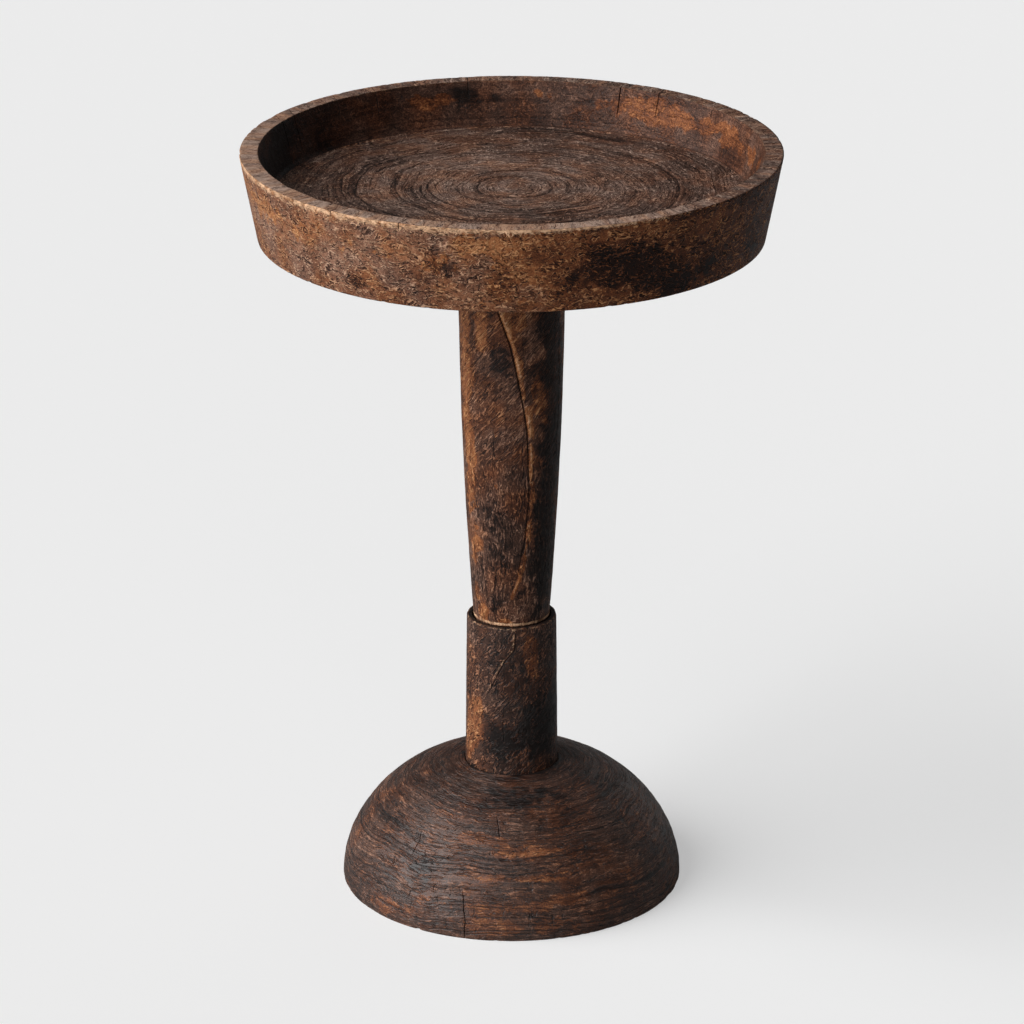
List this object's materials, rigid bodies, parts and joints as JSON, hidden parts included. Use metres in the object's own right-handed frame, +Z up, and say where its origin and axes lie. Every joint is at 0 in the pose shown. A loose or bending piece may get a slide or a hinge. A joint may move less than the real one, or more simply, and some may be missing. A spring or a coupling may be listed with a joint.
{
  "type": "pedestal side table",
  "caption": "Round pedestal side table with a dished tray top on a tapered column, socketed in a collar on a domed base; holds small things beside a seat.",
  "frame": {"origin": "centre of the base's underside, on the floor", "axes": "+Z up along the column, +Y towards the back as pictured, +X to the right as pictured"},
  "size_m": [0.3994, 0.3994, 0.58],
  "materials": {
    "base_wood": "waxed dark hardwood, checked and worn",
    "collar_wood": "waxed dark hardwood, checked and worn",
    "column_wood": "waxed dark hardwood, checked and worn",
    "tray_wood": "waxed dark hardwood, checked and worn",
    "wedge_wood": "bare split hardwood"
  },
  "bodies": {
    "root": {"base": "base_wood", "collar": "collar_wood", "column": "column_wood", "tray": "tray_wood", "tray_wedge_left": "wedge_wood", "tray_wedge_right": "wedge_wood", "foot_wedge_left": "wedge_wood", "foot_wedge_right": "wedge_wood"}
  },
  "joints": []
}
